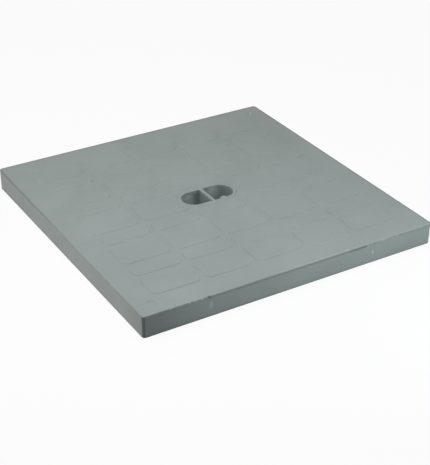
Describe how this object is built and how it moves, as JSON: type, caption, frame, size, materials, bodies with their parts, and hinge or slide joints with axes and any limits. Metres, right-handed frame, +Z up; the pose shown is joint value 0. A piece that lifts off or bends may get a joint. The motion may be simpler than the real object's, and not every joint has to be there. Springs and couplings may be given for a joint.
{
  "type": "inspection cover",
  "caption": "Square moulded plastic inspection cover with a raised paver pattern on top, a divided finger slot in the middle and a ribbed underside inside a plain skirt.",
  "frame": {"origin": "centre of the square, on the plane of the seating rim at the foot of the skirt", "axes": "+Z up, out of the paver face; +X along the courses of pavers and the length of the finger slot; +Y to the back, along the lifting web"},
  "size_m": [0.4, 0.4, 0.029],
  "materials": {
    "cover_plastic": "grey moulded plastic, matte with a fine spark-eroded grain"
  },
  "bodies": {
    "root": {"cover": "cover_plastic"}
  },
  "joints": []
}
